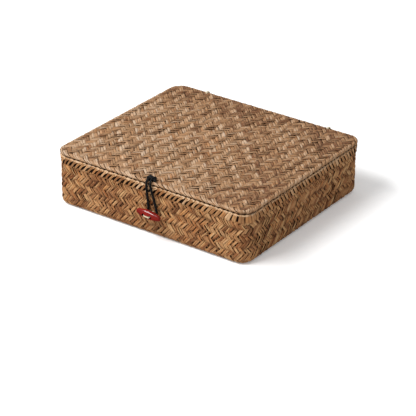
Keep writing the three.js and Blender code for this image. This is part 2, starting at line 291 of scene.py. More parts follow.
# Piece of strands by the plait tree, with sizes in millimetres
def growPiece(name, strands, finish, width, thick, points, lift=0.0, hold=1.0, overShare=0.0):
    guide = addObject(name + "Guide", guideMesh(name + "Guide", strands))
    grow = guide.modifiers.new("grow", "NODES")
    grow.node_group = plaitTree
    names = {item.name: item.identifier for item in plaitTree.interface.items_tree if item.in_out == "INPUT"}
    inputs = {
        "Strand Width": width * mm, "Strand Thickness": thick * mm, "Lift": lift * mm,
        "Hold": hold, "Over Share": overShare, "Section Points": points, "Finish": finish,
    }
    for label, value in inputs.items():
        grow[names[label]] = value
    mesh = evaluatedMesh(guide)
    discard(guide)
    for spare in ("facing", "rise", "girth", "loft"):
        if spare in mesh.attributes:
            mesh.attributes.remove(mesh.attributes[spare])
    mesh.name = name
    return addObject(name, mesh)


def settle(piece, body, finish, *nodes):
    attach(piece, body)
    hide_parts(*nodes)
    print("  ", piece.name, sum(len(p.vertices) - 2 for p in piece.data.polygons), "triangles")


# Smooth line through points, spaced evenly
def smoothLine(points, step):
    p = np.asarray(points, float)
    p = np.concatenate([[2 * p[0] - p[1]], p, [2 * p[-1] - p[-2]]])
    fine = []
    for a, b, c, d in zip(p[:-3], p[1:-2], p[2:-1], p[3:]):
        gaps = [max(np.linalg.norm(y - x) ** 0.5, 1e-6) for x, y in ((a, b), (b, c), (c, d))]
        leave = ((b - a) / gaps[0] - (c - a) / (gaps[0] + gaps[1]) + (c - b) / gaps[1]) * gaps[1]
        arrive = ((c - b) / gaps[1] - (d - b) / (gaps[1] + gaps[2]) + (d - c) / gaps[2]) * gaps[1]
        t = np.linspace(0, 1, 24, endpoint=False)[:, None]
        fine.append(
            (2 * t**3 - 3 * t**2 + 1) * b + (t**3 - 2 * t**2 + t) * leave
            + (3 * t**2 - 2 * t**3) * c + (t**3 - t**2) * arrive
        )
    fine = np.concatenate(fine + [p[-2:-1]])
    run = runOf(fine)
    stops = np.linspace(0, run[-1], max(3, int(round(run[-1] / step)) + 1))
    return np.stack([np.interp(stops, run, fine[:, k]) for k in range(3)], 1)


def headingOf(line):
    heading = np.gradient(line, axis=0)
    return heading / np.linalg.norm(heading, axis=1)[:, None]


# Two directions square to a line, carried along it without twist
def carriedFrame(line):
    heading = headingOf(line)
    side = np.cross(heading[0], [0.31, 0.17, 0.93])
    sides = []
    for h in heading:
        side = side - h * (side @ h)
        side = side / np.linalg.norm(side)
        sides.append(side)
    sides = np.array(sides)
    return sides, np.cross(heading, sides)


# The way out from a line that winds round it
def winding(carried, turns):
    angle = 2 * np.pi * turns
    return np.cos(angle)[:, None] * carried[0] + np.sin(angle)[:, None] * carried[1]


# Braid of flat yarns round a core, for the black cord
def braidStrands(line, plan, chance):
    run, carried = runOf(line), carriedFrame(line)
    yarns, pitch = plan["yarns"], plan["pitch"]
    core = {"points": line, "facing": carried[0], "tone": 0.2, "girth": plan["core"] / plan["yarnWidth"]}
    strands = []
    for hand in (1, -1):
        for k in range(yarns):
            out = winding(carried, hand * run / pitch + k / yarns)
            crossing = 2 * yarns * run / pitch
            strands.append({
                "points": line + out * (0.5 * plan["braid"] - plan["sunk"]), "facing": out,
                "rise": 2 * crossing + (0 if hand > 0 else 2), "tone": chance.random(),
            })
    return core, strands


# Plies twisted together, for the sewing thread
def twistedPlies(line, diameter, plies, pitch, chance):
    run, carried = runOf(line), carriedFrame(line)
    outs = [winding(carried, run / pitch + k / plies) for k in range(plies)]
    apart = 0.26 * diameter
    return [{"points": line + out * apart, "facing": out, "tone": chance.random()} for out in outs]


# Shared finish of the plaited strands: tone by strand, fibres along it, and painted shade where it dips under
finishPlan = {
    # how fast colours change along a strand, per millimetre, and how many fibres lie across it
    "drift": 0.075, "hue": 0.03, "fibre": 0.09, "fibresAcross": 3.2,
    # steps that set the noise of one strand apart from the next
    "toneStep": 53.0, "hueStep": 211.0, "hueLayer": 7.0,
    "redder": (1.0, 0.8, 0.62, 1.0), "greyer": (0.94, 0.98, 1.08, 1.0),
    # painted shade takes more green and blue than red
    "greenLoss": 1.12, "blueLoss": 1.28,
    "bump": (0.6, 0.0003),
}


def buildStrandFinish():
    tree, given, made = newGroup("strandFinish", "ShaderNodeTree", {
        "Pale": "Color", "Middle": "Color", "Dark": "Color",
        "Shade In Dips": "Float", "Patchiness": "Float", "Crease": "Float",
    }, {"Color": "Color", "Roughness": "Float", "Height": "Float"})
    look = finishPlan
    plus, minus, times = sums(tree)
    spread, mix = partial(ranged, tree), partial(mixed, tree)
    tone, along, across, lift = fieldsOf(tree, "tone", "along", "across", "lift")
    strandPlace = times(tone, look["toneStep"])

    # slow change of colour along each strand
    drift = joinXyz(tree, times(along, look["drift"]), strandPlace, 0.0)
    slow = minus(noise(tree, drift, 1.0, 2.0, Roughness=0.6), 0.5)
    shade = plus(times(slow, given["Patchiness"]), tone)
    color = mix(spread(shade, 0.45, 1.05, 0.0, 1.0), given["Middle"], given["Pale"])
    color = mix(spread(shade, 0.42, -0.1, 0.0, 1.0), color, given["Dark"])

    # some strands are redder and some greyer than the rest
    hue = joinXyz(tree, times(along, look["hue"]), times(tone, look["hueStep"]), look["hueLayer"])
    hue = noise(tree, hue, 1.0, 1.0, Roughness=0.5)
    color = mix(spread(hue, 0.52, 0.72, 0.0, 1.0), color, look["redder"], "MULTIPLY")
    color = mix(spread(hue, 0.46, 0.3, 0.0, 1.0), color, look["greyer"], "MULTIPLY")

    # fibres drawn out along the strand
    streak = joinXyz(tree, times(along, look["fibre"]), times(across, look["fibresAcross"]), strandPlace)
    fibre = noise(tree, streak, 1.6, 5.0, Roughness=0.65)
    grey = spread(fibre, 0.28, 0.74, 0.72, 1.16)
    grey = addNode(tree, "ShaderNodeCombineColor", [grey, grey, grey]).outputs[0]
    color = mix(1.0, color, grey, "MULTIPLY")

    # painted shade along the fold of the blade, at the edges of the strand, and on the stretches that pass
    # under another one
    fold = maths(tree, "ABSOLUTE", plus(across, times(slow, 0.9)))
    fold = spread(fold, 0.06, 0.34, 1.0, 0.0)
    crease = minus(1.0, times(fold, given["Crease"]))
    edge = times(spread(maths(tree, "ABSOLUTE", across), 0.8, 1.0, 1.0, 0.6), crease)
    dip = spread(lift, -0.8, 0.75, 0.0, 1.0)
    dip = minus(1.0, times(minus(1.0, dip), given["Shade In Dips"]))
    # painted shade of the edges, the fold and the dips, multiplied together
    dipEdgeShade = times(edge, dip)
    losses = [maths(tree, "POWER", dipEdgeShade, look[k]) for k in ("greenLoss", "blueLoss")]
    warm = addNode(tree, "ShaderNodeCombineColor", [dipEdgeShade, *losses])
    color = mix(1.0, color, warm.outputs[0], "MULTIPLY")

    tree.links.new(color, made["Color"])
    tree.links.new(spread(fibre, 0.25, 0.8, 0.62, 0.42), made["Roughness"])
    tree.links.new(minus(fibre, times(fold, 0.5)), made["Height"])
    return tree


strandFinish = buildStrandFinish()


def seagrassMaterial(name, look):
    material, tree = newMaterial(name)
    given = {key: srgb(*look[key]) for key in ("Pale", "Middle", "Dark")}
    given.update({"Shade In Dips": look["dips"], "Patchiness": look["patches"], "Crease": look["crease"]})
    finish = addNode(tree, "ShaderNodeGroup", given, node_tree=strandFinish).outputs
    return dress(material, finish["Height"], *finishPlan["bump"], {
        "Base Color": finish["Color"], "Roughness": finish["Roughness"], "Specular IOR Level": look["shine"],
    })


# Black braided cord: the loop that hooks over the toggle, and its knot on the lid
cordPlan = {
    "diameter": 2.4, "braid": 2.65, "core": 1.9, "sunk": 0.12, "yarns": 5, "pitch": 7.0, "step": 0.33,
    "yarnWidth": 1.1, "yarnThick": 0.34, "yarnLift": 0.14, "knot": (2.6, -122.1, 72.5), "legSpread": 2.7,
    "edge": (-123.5, 67.8, 4.0),  # the front edge that the cord bends over: y, z, radius
    "lean": 4.6, "halfWidth": 5.9, "wallY": -125.5, "toggleZ": 31.3, "drop": 2.9, "seed": 3,
    "turn": (3.6, 2.9, 2.4),  # one turn of the knot: half its width, its advance, half its height
    # bight under the lid: half the spacing of its holes and their y, then heights down to the bend
    "holes": (2.6, -116.6), "holeLevels": (71.2, 67.5, 65.3), "bightLevels": (63.2, 62.6), "tailLevel": 71.3,
}


def fibreMaterial(name, look):
    material, tree = newMaterial(name)
    times = sums(tree)[2]
    along, across, tone = fieldsOf(tree, "along", "across", "tone")
    place = joinXyz(tree, times(along, look["alongScale"]), times(across, 4.0), times(tone, 41.0))
    fuzz = noise(tree, place, 1.5, 4.0)
    ends = srgb(*look["Dark"]), srgb(*look["Pale"])
    return dress(material, fuzz, 0.5, 0.00012, {
        "Base Color": mixed(tree, ranged(tree, fuzz, 0.3, 0.72, 0.0, 1.0), *ends),
        "Roughness": ranged(tree, fuzz, 0.2, 0.8, look["rough"] + 0.1, look["rough"] - 0.1),
        "Specular IOR Level": look["shine"], "Sheen Weight": look["sheen"], "Sheen Roughness": 0.5,
    })


blackCord = fibreMaterial("blackCord", {
    "Dark": (7, 7, 8), "Pale": (22, 23, 25), "alongScale": 0.4, "rough": 0.6, "shine": 0.3, "sheen": 0.03,
})
creamThread = fibreMaterial("creamThread", {
    "Dark": (196, 180, 146), "Pale": (240, 230, 205), "alongScale": 0.5, "rough": 0.75, "shine": 0.3,
    "sheen": 0.1,
})


# Yarns of the braid and the core inside them, as one piece
def braidedPiece(name, routes, plan, chance):
    cores, yarns = [], []
    for route in routes:
        core, strands = braidStrands(smoothLine(route, plan["step"]), plan, chance)
        cores.append(core)
        yarns += strands
    width = plan["yarnWidth"]
    skin = growPiece(name, yarns, blackCord, width, plan["yarnThick"], 6, plan["yarnLift"], 1.5)
    inside = growPiece(name + "Core", cores, blackCord, width, width, 10, hold=1.5)
    both = bmesh.new()
    both.from_mesh(skin.data)
    both.from_mesh(inside.data)
    both.to_mesh(skin.data)
    both.free()
    discard(inside)
    return skin


def buildClosureCord(plan):
    chance = np.random.default_rng(plan["seed"])
    knotX, knotY, knotZ = plan["knot"]
    edgeY, edgeZ, reach = plan["edge"]
    thick, wallY, low = plan["diameter"], plan["wallY"], plan["toggleZ"]
    apart, wide = plan["legSpread"], plan["halfWidth"]
    legTop = edgeZ - 0.3

    # place by the knot, in thicknesses of the cord
    def byKnot(x, y, z):
        return (knotX + x * thick, knotY + y * thick, knotZ + z * thick)

    # half of the loop: out of the knot, over the edge of the lid and down to the toggle
    def leg(side):
        points = [byKnot(side * 0.52, -0.5, -0.17)]
        for degrees in (78, 60, 30, 0):
            a = radians(degrees)
            x = knotX + side * apart * (1 - 0.13 * degrees / 90)
            points.append((x, edgeY - reach * cos(a), edgeZ + reach * sin(a)))
        for t, y, down in ((0.2, edgeY - reach, 0.2), (0.55, wallY - 0.37 * thick, 0.5), (0.9, wallY, 0.86)):
            x = knotX + plan["lean"] * t + side * (apart + (wide - apart) * t)
            points.append((x, y, legTop - down * (legTop - low)))
        return points

    angles = np.radians([180, 225, 270, 315, 360])
    bend = [(knotX + plan["lean"] + wide * cos(a), wallY, low + plan["drop"] * sin(a)) for a in angles]
    route = [*leg(-1), *bend, *leg(1)[::-1]]
    loop = braidedPiece("closure_cord", [route], plan, chance)
    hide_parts("closure_loop")
    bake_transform(loop)
    path = (smoothLine(route, 1.2) * mm).tolist()
    length = float(runOf(smoothLine(route, plan["step"]))[-1])
    print("closure cord", round(length, 1), "mm long")

    # two turns round the legs, the tail, and the bight held under the hem of the lid
    turnX, turnY, turnZ = plan["turn"]
    turns = [
        (knotX + turnX * cos(a), knotY + turnY * (a / (2 * pi) - 1.0), knotZ + turnZ * sin(a))
        for a in np.linspace(0, 4 * pi, 25)
    ]
    tail = [byKnot(0.4, 0.4, 0.17), (knotX + 4.2, knotY - 0.5, knotZ - 0.5)]
    tail.append((knotX + 7.4, knotY - 1.4, plan["tailLevel"]))
    holeX, holeY = plan["holes"]
    bendEnd, bendLow = plan["bightLevels"]

    def toAnchor(side):
        x = knotX + side * holeX
        return [
            byKnot(side * 0.52, -0.5, -0.17),
            byKnot(side * 0.56, 0.17, -0.04),
            (x - side * 0.17 * thick, holeY - 0.3 * thick, knotZ - 0.3 * thick),
            *((x, holeY, z) for z in plan["holeLevels"]),
            (x - side * 0.37 * thick, holeY, bendEnd),
        ]

    bight = [*toAnchor(-1), (knotX, holeY, bendLow), *toAnchor(1)[::-1]]
    knot = braidedPiece("closure_knot", [turns, tail, bight], plan, chance)
    settle(knot, "lid", "black_cord", "loop_knot")


buildClosureCord(cordPlan)


# Plan of the box: insets run inward from the outline of the lid
boxPlan = {
    "cornerX": 122.5, "cornerY": 108.5, "corner": 17.5, "wallInset": 2.0, "footRound": 6.0, "footCentre": 8.0,
}
cornerX, cornerY, corner, wallInset, footRound, footCentre = boxPlan.values()


def roundTheWall(distance):
    reach = corner - wallInset
    straight = np.array([2 * cornerX, 2 * cornerY] * 2)
    sides = straight + reach * pi / 2
    starts = np.concatenate([[0], np.cumsum(sides)[:-1]])
    d = np.mod(distance, sides.sum())
    side = np.clip(np.searchsorted(starts, d, side="right") - 1, 0, 3)
    left = d - starts[side]
    travel = side * pi / 2
    heading = travel - pi / 2 + np.maximum(0, left - straight[side]) / reach
    along = np.minimum(left, straight[side])
    x = np.array([-1, 1, 1, -1])[side] * cornerX + along * np.cos(travel)
    y = np.array([-1, -1, 1, 1])[side] * cornerY + along * np.sin(travel)
    return np.stack([x, y], 1), np.stack([np.cos(heading), np.sin(heading)], 1)


rimLength = 4 * (cornerX + cornerY) + 2 * pi * (corner - wallInset)


# Points round the box at an inset and a height, and the way out turned upward by an angle
def roundAt(distance, inset, height, turn):
    base, out = roundTheWall(distance)
    points = np.column_stack([base + out * (corner - inset)[:, None], height])
    return points, np.column_stack([out * np.cos(turn)[:, None], np.sin(turn)])


# Wall surface at an inset: height runs up the wall, round the foot below it and in under the floor
def wallSheet(distance, height, inset):
    radius = footCentre - inset
    turn = np.clip((footRound - height) / radius, 0, pi / 2)
    under = np.maximum(0, footRound - radius * pi / 2 - height)
    inward = footCentre - radius * np.cos(turn) + under
    z = np.where(height > footRound, height, footRound - radius * np.sin(turn))
    return roundAt(distance, inward, z, -turn)


# Strands lie a little askew, each in its own way
def tilted(points, facing, angle):
    return facing * np.cos(angle)[:, None] + np.cross(headingOf(points), facing) * np.sin(angle)[:, None]


# Wave along a run, with a length by chance between two
def wander(chance, run, slow, fast):
    return np.sin(run / chance.uniform(slow, fast) + chance.uniform(0, 6.3))


# One set of strands is painted paler than the other, a painted sheen where the light catches that set; the
# rest of the tone differs at random
def toneOf(plan, slant, chance):
    return 0.5 + plan["toneSpread"] * (chance.random() - 0.5) - slant * plan["sheenApart"]


# A strand is a folded blade, so the ones that show are laid as two ribs side by side
def wallStrands(plan, slant, chance):
    pitch = rimLength / plan["count"]
    rows = np.arange(plan["low"], plan["high"], plan["rowHeight"] / plan["pointsPerRow"])
    sideways = hypot(1.0, 0.5 * pitch / plan["rowHeight"])
    calm = np.interp(rows, [-2.0, 9.0], [0.25, 1.0])  # strands lie flat round the foot
    wave = partial(wander, chance, rows)
    strands = []
    for k in range(plan["count"]):
        sway = plan["sway"] * (wave(9, 17) + 0.5 * wave(3.5, 6))
        askew = calm * plan["askew"] * (wave(5, 12) + chance.normal(0, 0.5))
        tone = toneOf(plan, slant, chance)
        slim = chance.uniform(*plan["slim"]) + 0.07 * wave(4, 9)
        loft = calm * (1.0 + 0.25 * wave(6, 14))
        spread = slim * (0.9 + 0.25 * wave(3, 7))
        slip = plan["slip"] * (chance.normal(0, 0.8) + wave(4, 9))
        middle = k * pitch + slant * 0.5 * pitch * rows / plan["rowHeight"] + sway
        for rib in plan["ribs"]:
            points, facing = wallSheet(middle + rib * spread * sideways, rows, plan["inset"])
            facing = facing * plan["faces"]
            lean = askew + calm * plan["ribTurn"] * chance.normal(0, 1)
            strands.append({
                "points": points - facing * (slant * rib * np.sin(askew))[:, None],
                "facing": tilted(points, facing, lean),
                "rise": (rows - plan["firstRow"]) / plan["rowHeight"] + (0 if slant > 0 else 2) + slip,
                "tone": tone + plan["ribTone"] * chance.normal(0, 1),
                "girth": slim, "loft": loft,
            })
    return strands


# Flat mat: two sets of strands that cross on rows along the depth of the box
def matStrands(plan, slant, chance):
    half = 0.5 * plan["pitchX"]
    reachX = cornerX + corner + plan["beyond"] + half
    reachY = cornerY + corner + plan["beyond"]
    x = np.arange(-reachX, reachX, half / plan["pointsPerRow"])
    wave = partial(wander, chance, x)
    count = int(reachX / plan["pitchX"] + reachY / plan["pitchY"]) + 1
    sideways = hypot(1.0, plan["pitchY"] / plan["pitchX"])
    over = 0 if slant < 0 else 2
    startX, startY = plan["start"]
    shadeFromX, shadeFromY = plan["falloffShadeFrom"]
    strands = []
    for k in range(-count, count + 1):
        sway = plan["sway"] * (wave(14, 30) + 0.5 * wave(5, 9))
        askew = plan["askew"] * (wave(6, 15) + chance.normal(0, 0.5))
        middle = startY + plan["pitchY"] * (k + slant * (x - startX) / plan["pitchX"])
        # one set is broader than the other, but not at the edge where the ties pass
        inwards = (reachY - plan["beyond"] - plan["evenEdge"] - np.abs(middle)) / plan["evenEdge"]
        broad = 1 - slant * plan["broadApart"] * np.clip(inwards, 0, 1)
        slim = broad * (chance.uniform(*plan["slim"]) + 0.06 * wave(6, 12))
        shade = toneOf(plan, slant, chance) + plan["toneTurns"] * (k % 2 - 0.5)
        spread = slim * (0.92 + 0.2 * wave(5, 11))
        slip = plan["slip"] * (chance.normal(0, 0.8) + wave(6, 14))
        for rib in plan["ribs"]:
            y = middle + sway + rib * spread * sideways
            points, facing, loft, inside, rolled = plan["lay"](x, y, plan)
            # painted shade: the mat is darker towards its right and back edges, where the light falls off
            falloffShade = np.maximum((x / reachX - shadeFromX) / (1 - shadeFromX), (y / reachY - shadeFromY) / (1 - shadeFromY))
            tone = shade + plan["ribTone"] * chance.normal(0, 1) - plan["falloffShade"] * np.clip(falloffShade, 0, 1)
            turn = plan["ribTurn"] * chance.normal(0, 1)
            if inside.sum() < 3:
                continue
            # on the roll of the edge one set of strands lies over the other all along, and tucks in below
            phase = (x - startX - plan["firstRow"]) / half + over + slip
            steady = over + 4 * np.round((phase - over) / 4)
            steady = steady + np.interp(rolled, [3.0, 4.4], [0.0, 2.0 - over])
            hold = np.interp(rolled, [-2.6, -1.0], [0.0, 1.0])
            # painted highlight: strands paler along the top of the rolled edge of the lid
            pale = np.interp(rolled, [-2.0, 0.0, 2.6, 3.6], [0, 1, 1, 0])
            strand = {
                "points": points + facing * (rib * loft * np.sin(askew))[:, None],
                "facing": tilted(points, facing, loft * (askew + turn)),
                "rise": phase + (steady - phase) * hold,
                "tone": tone + (plan["edgeHighlight"] - 0.5 * tone) * pale,
                "girth": slim * np.interp(rolled, [-0.5, 1.5], [1.0, plan["edgeGirth"]]),
                "loft": loft,
            }
            strands.append({key: value[inside] for key, value in strand.items()})
    return strands


# Distance outside the outline at an inset, and the way out from it
def outsideOf(x, y, inset):
    dx, dy = np.abs(x) - cornerX, np.abs(y) - cornerY
    reach = corner - inset
    away = np.stack([np.maximum(dx, 0) * np.sign(x), np.maximum(dy, 0) * np.sign(y)], 1)
    length = np.hypot(away[:, 0], away[:, 1])
    out = away / np.maximum(length, 1e-9)[:, None]
    return length + np.minimum(np.maximum(dx, dy), 0) - reach, out


def layFlat(x, y, plan):
    outside, _ = outsideOf(x, y, plan["inset"])
    points = np.column_stack([x, y, np.full(len(x), plan["level"])])
    facing = np.tile([0.0, 0.0, plan["faces"]], (len(x), 1))
    return points, facing, np.ones(len(x)), outside <= 0, np.full(len(x), -9.0)


# Lid mat: flat on top, rolled round the edge and turned under as a hem
def layOverEdge(x, y, plan):
    outside, out = outsideOf(x, y, plan["inset"])
    past = np.maximum(outside, 0)
    radius = plan["edgeRadius"]
    turn = np.minimum(past / radius, pi)
    under = np.maximum(0, past - pi * radius)
    flat = np.stack([x, y], 1) - out * past[:, None]
    # strands slide along the edge while they go round it, one way on the front and the other on the sides
    around = np.minimum(past, pi * radius)
    slide = plan["edgeSlide"] * (out[:, 1] ** 2 - out[:, 0] ** 2) * around**2 / (around + 0.8)
    along = np.stack([-out[:, 1], out[:, 0]], 1)
    spot = flat + out * (radius * np.sin(turn) - under)[:, None] + along * slide[:, None]
    points = np.column_stack([spot, plan["edgeLevel"] + radius * np.cos(turn)])
    facing = np.column_stack([out * np.sin(turn)[:, None], np.cos(turn)])
    loft = np.interp(outside, [-3.0, 0.0, 6.0], [1.0, plan["edgeLoft"], 0.7])
    return points, facing, loft, outside <= plan["beyond"], outside


def bothWays(name, plan, finish, body, slotName, node):
    for slant, way in ((1, "rising"), (-1, "falling")):
        chance = np.random.default_rng(plan["seed"] + (0 if slant > 0 else 100))
        strands = plan["weave"](plan, slant, chance)
        sizes = {key: plan[key] for key in ("width", "thick", "lift", "hold", "points")}
        piece = growPiece(name + "_" + way, strands, finish, overShare=plan["overShare"] * slant, **sizes)
        settle(piece, body, slotName, node)


seagrassWall = seagrassMaterial("seagrassWall", {
    "Pale": (208, 165, 116), "Middle": (182, 131, 86), "Dark": (129, 81, 48),
    "dips": 0.55, "patches": 1.25, "crease": 0.0, "shine": 0.3,
})
seagrassLid = seagrassMaterial("seagrassLid", {
    "Pale": (211, 180, 149), "Middle": (180, 139, 100), "Dark": (132, 90, 60),
    "dips": 0.54, "patches": 1.1, "crease": 0.0, "shine": 0.35,
})
seagrassFold = seagrassMaterial("seagrassFold", {
    "Pale": (236, 202, 164), "Middle": (190, 142, 94), "Dark": (142, 94, 56),
    "dips": 0.9, "patches": 0.7, "crease": 0.25, "shine": 0.3,
})
seagrassInner = seagrassMaterial("seagrassInner", {
    "Pale": (212, 174, 124), "Middle": (184, 140, 94), "Dark": (136, 94, 58),
    "dips": 0.5, "patches": 0.9, "crease": 0.2, "shine": 0.3,
})


# What plain plaits share, and the plaits that show change
plainPlait = {
    "pointsPerRow": 2, "thick": 0.74, "lift": 0.4, "hold": 2.2, "overShare": 0.0, "askew": 0.12, "points": 6,
    "ribs": (0.0,), "ribTone": 0.0, "ribTurn": 0.0, "slip": 0.0, "sheenApart": 0.0, "toneSpread": 1.0,
}
plainWall = {**plainPlait, "weave": wallStrands, "count": 156, "rowHeight": 3.9}
plainMat = {
    **plainPlait, "weave": matStrands, "lay": layFlat, "pitchX": 7.8, "pitchY": 7.8, "start": (0.0, 0.0),
    "firstRow": 0.0, "beyond": 0.0, "sway": 0.3, "slim": (0.84, 1.04), "toneTurns": 0.0, "falloffShade": 0.0,
    "falloffShadeFrom": (0.2, 0.3), "broadApart": 0.0, "evenEdge": 8.0, "edgeHighlight": 0.0, "edgeGirth": 1.0,
}

# Outer plait of the base
outerPlait = {
    **plainWall, "firstRow": 41.0, "pointsPerRow": 3, "low": -7.0, "high": 54.4, "inset": 2.85, "faces": 1,
    "ribs": (-1.03, 1.03), "ribTone": 0.16, "ribTurn": 0.2, "width": 2.35, "thick": 1.0, "lift": 0.5,
    "hold": 1.5, "overShare": 0.1, "sway": 0.7, "askew": 0.26, "slim": (0.78, 1.1), "slip": 0.3,
    "sheenApart": 0.02, "toneSpread": 0.9, "seed": 11,
}
bothWays("outer_plait", outerPlait, seagrassWall, "base", "seagrass", "base_outer")

# Underside of the floor
floorPlait = {
    **plainMat, "pointsPerRow": 3, "inset": 9.0, "level": 0.85, "faces": -1.0, "width": 5.3, "thick": 0.8,
    "seed": 21,
}
bothWays("floor_plait", floorPlait, seagrassWall, "base", "seagrass", "base_outer")

# Lining of the base: its walls and its floor
liningPlait = {
    **plainWall, "firstRow": 37.0, "low": 0.4, "high": 61.4, "inset": 4.8, "faces": -1,
    "width": 4.8, "sway": 0.2, "slim": (0.8, 1.04), "seed": 31,
}
bothWays("lining_plait", liningPlait, seagrassInner, "base", "seagrass_inner", "base_lining")
insidePlait = {
    **plainMat, "firstRow": 3.9, "inset": 7.6, "level": 2.8, "faces": 1.0, "width": 5.3, "seed": 41,
}
bothWays("inside_floor", insidePlait, seagrassInner, "base", "seagrass_inner", "base_lining")
print("base plaited")

# Upper mat of the lid, rolled over its edge
lidPlait = {
    **plainMat, "lay": layOverEdge, "pitchX": 7.75, "pitchY": 8.4, "start": (4.14, -1.3), "firstRow": -5.8125,
    "pointsPerRow": 3, "beyond": 13.0, "inset": 2.5, "edgeRadius": 1.8, "edgeLevel": 67.5, "edgeLoft": 0.6,
    "edgeHighlight": 0.45, "edgeSlide": 1.3, "edgeGirth": 0.62,
    "ribs": (-1.36, 1.36), "ribTone": 0.14, "ribTurn": 0.1, "width": 3.2, "thick": 0.8, "lift": 0.42,
    "hold": 2.0, "overShare": 0.1, "sway": 0.55, "askew": 0.18, "slip": 0.28,
    "sheenApart": 0.08, "toneSpread": 0.6, "toneTurns": 0.2, "falloffShade": 0.34, "broadApart": 0.17, "seed": 51,
}
bothWays("lid_plait", lidPlait, seagrassLid, "lid", "seagrass", "lid_outer")

# Lower mat of the lid, inside the hem
underPlait = {
    **plainMat, "pitchY": 8.2, "inset": 11.5, "level": 66.1, "faces": -1.0, "width": 5.4, "seed": 61,
}
bothWays("lid_under", underPlait, seagrassInner, "lid", "seagrass_inner", "lid_lining")
print("lid plaited")


# Folded strands over the rim, leaning one way on the front and back and the other way on the sides
rimPlan = {
    "count": 156, "lean": 7.5, "leanTurn": 26.0, "drop": 10.3, "seed": 71,
    # width along the rim at parts of the drop, from the fold down to the foot
    "drops": (0.0, 0.16, 0.26, 0.4, 1.0), "widths": (6.9, 6.7, 4.8, 4.0, 3.6),
    # beside the front and back, and near the right end of the front, the strands lie closer
    "closeWidths": (6.9, 6.9, 6.7, 6.4, 5.7), "closeFrom": (58.0, 98.0), "fan": 0.3,
    "width": 4.6, "thick": 0.8,
    # twisted binding along the fold: inset, height, plies and their size
    "binding": (1.75, 63.0), "plies": 2, "plyWidth": 1.9, "plyThick": 1.2, "plyApart": 0.38, "plyPitch": 17.0,
}


def leanAt(distance, plan):
    bend = (corner - wallInset) * pi / 2
    middle = -bend / 2
    for side in range(5):
        before = middle - distance
        if abs(before) < plan["leanTurn"]:
            return (1 if side % 2 else -1) * plan["lean"] * before / plan["leanTurn"]
        middle += bend + 2 * (cornerY if side % 2 else cornerX)
        if before > 0:
            break
    return plan["lean"] if side % 2 else -plan["lean"]


def buildRimFold(plan):
    chance = np.random.default_rng(plan["seed"])
    strands = []
    # inset, height, and how far the strand has turned over the rim
    section = np.array([
        (2.5, 53.2, 0), (1.75, 54.2, 0), (1.4, 55.4, 0), (1.32, 57.5, 0), (1.32, 59.8, 0), (1.32, 61.8, 0),
        (1.34, 63.0, 8), (1.5, 63.6, 40), (1.95, 63.92, 75), (3.0, 63.95, 90), (4.3, 63.95, 90),
        (5.6, 63.93, 105), (6.12, 63.6, 140), (6.28, 63.0, 172), (6.28, 61.2, 180), (6.28, 59.0, 180),
        (6.2, 57.8, 180),
    ])
    run = np.concatenate([[0], np.cumsum(np.hypot(*np.diff(section[:, :2], axis=0).T))])
    turn = np.radians(section[:, 2])
    pitch = rimLength / plan["count"]
    t = (run[8] - run) / plan["drop"]  # 1 at the foot, 0 on the rim, below 0 inside
    apart, closer = (np.interp(t, plan["drops"], plan[k]) for k in ("widths", "closeWidths"))
    for k in range(plan["count"]):
        start = k * pitch + chance.normal(0, 0.25)
        (here,), (outward,) = roundTheWall(np.array([start]))
        frontEnd = np.interp(here[0], plan["closeFrom"], [0, 1]) if outward[1] < 0 else 0
        close = max(1 - abs(outward[1]), frontEnd)
        lean = leanAt(k * pitch, plan)
        room = pitch - (leanAt((k + 1) * pitch, plan) - lean) * np.clip(t, 0, 1)
        # round a corner the strands fan out, so they are wider there
        fan = 1 + plan["fan"] * min(1, 3 * abs(outward[0] * outward[1]))
        width = (apart + (closer - apart) * close) * fan * (room / pitch) ** (1 + close)
        lean = lean * chance.uniform(0.9, 1.1)
        distance = start - lean * t + 0.5 * width + 0.12 * wander(chance, run, 2, 5)
        points, facing = roundAt(distance, section[:, 0], section[:, 1], turn)
        askew = np.clip(t, 0, 1) * chance.normal(0, 0.12) + 0.06
        strands.append({
            "points": points, "facing": tilted(points, facing, askew),
            # rise here moves nothing and only darkens: painted shade inside the rim, under the hem of the lid
            "rise": np.interp(t, [-0.1, -0.02], [2.0, 0.0]),
            # tone raised near the top: painted highlight along the fold
            "tone": 0.75 * chance.random() + np.interp(t, [0.06, 0.22], [0.7, 0.0]),
            "girth": width / 6.7 * chance.uniform(0.92, 1.04),
        })
    piece = growPiece("rim_fold", strands, seagrassFold, plan["width"], plan["thick"], 8)
    settle(piece, "base", "seagrass_fold", "base_rim_edging")

    # strands twisted together along the outer corner of the fold
    run = np.linspace(0, rimLength, int(rimLength / 1.1))
    inset, height = (np.full(len(run), v) for v in plan["binding"])
    turns = round(rimLength / plan["plyPitch"])
    plies = []
    for k in range(plan["plies"]):
        angle = 2 * pi * (turns * run / rimLength + k / plan["plies"])
        angle = angle + 0.25 * wander(chance, run, 30, 60)
        spot, away = roundAt(run, inset, height, angle)
        plies.append({
            "points": spot + away * plan["plyApart"], "facing": away,
            "tone": 0.62 + 0.3 * wander(chance, run, 5, 9) + 0.2 * wander(chance, run, 14, 30),
            "girth": 1.0 + 0.12 * wander(chance, run, 7, 12),
        })
    piece = growPiece("rim_binding", plies, seagrassFold, plan["plyWidth"], plan["plyThick"], 10)
    settle(piece, "base", "seagrass_fold", "base_rim_edging")


buildRimFold(rimPlan)


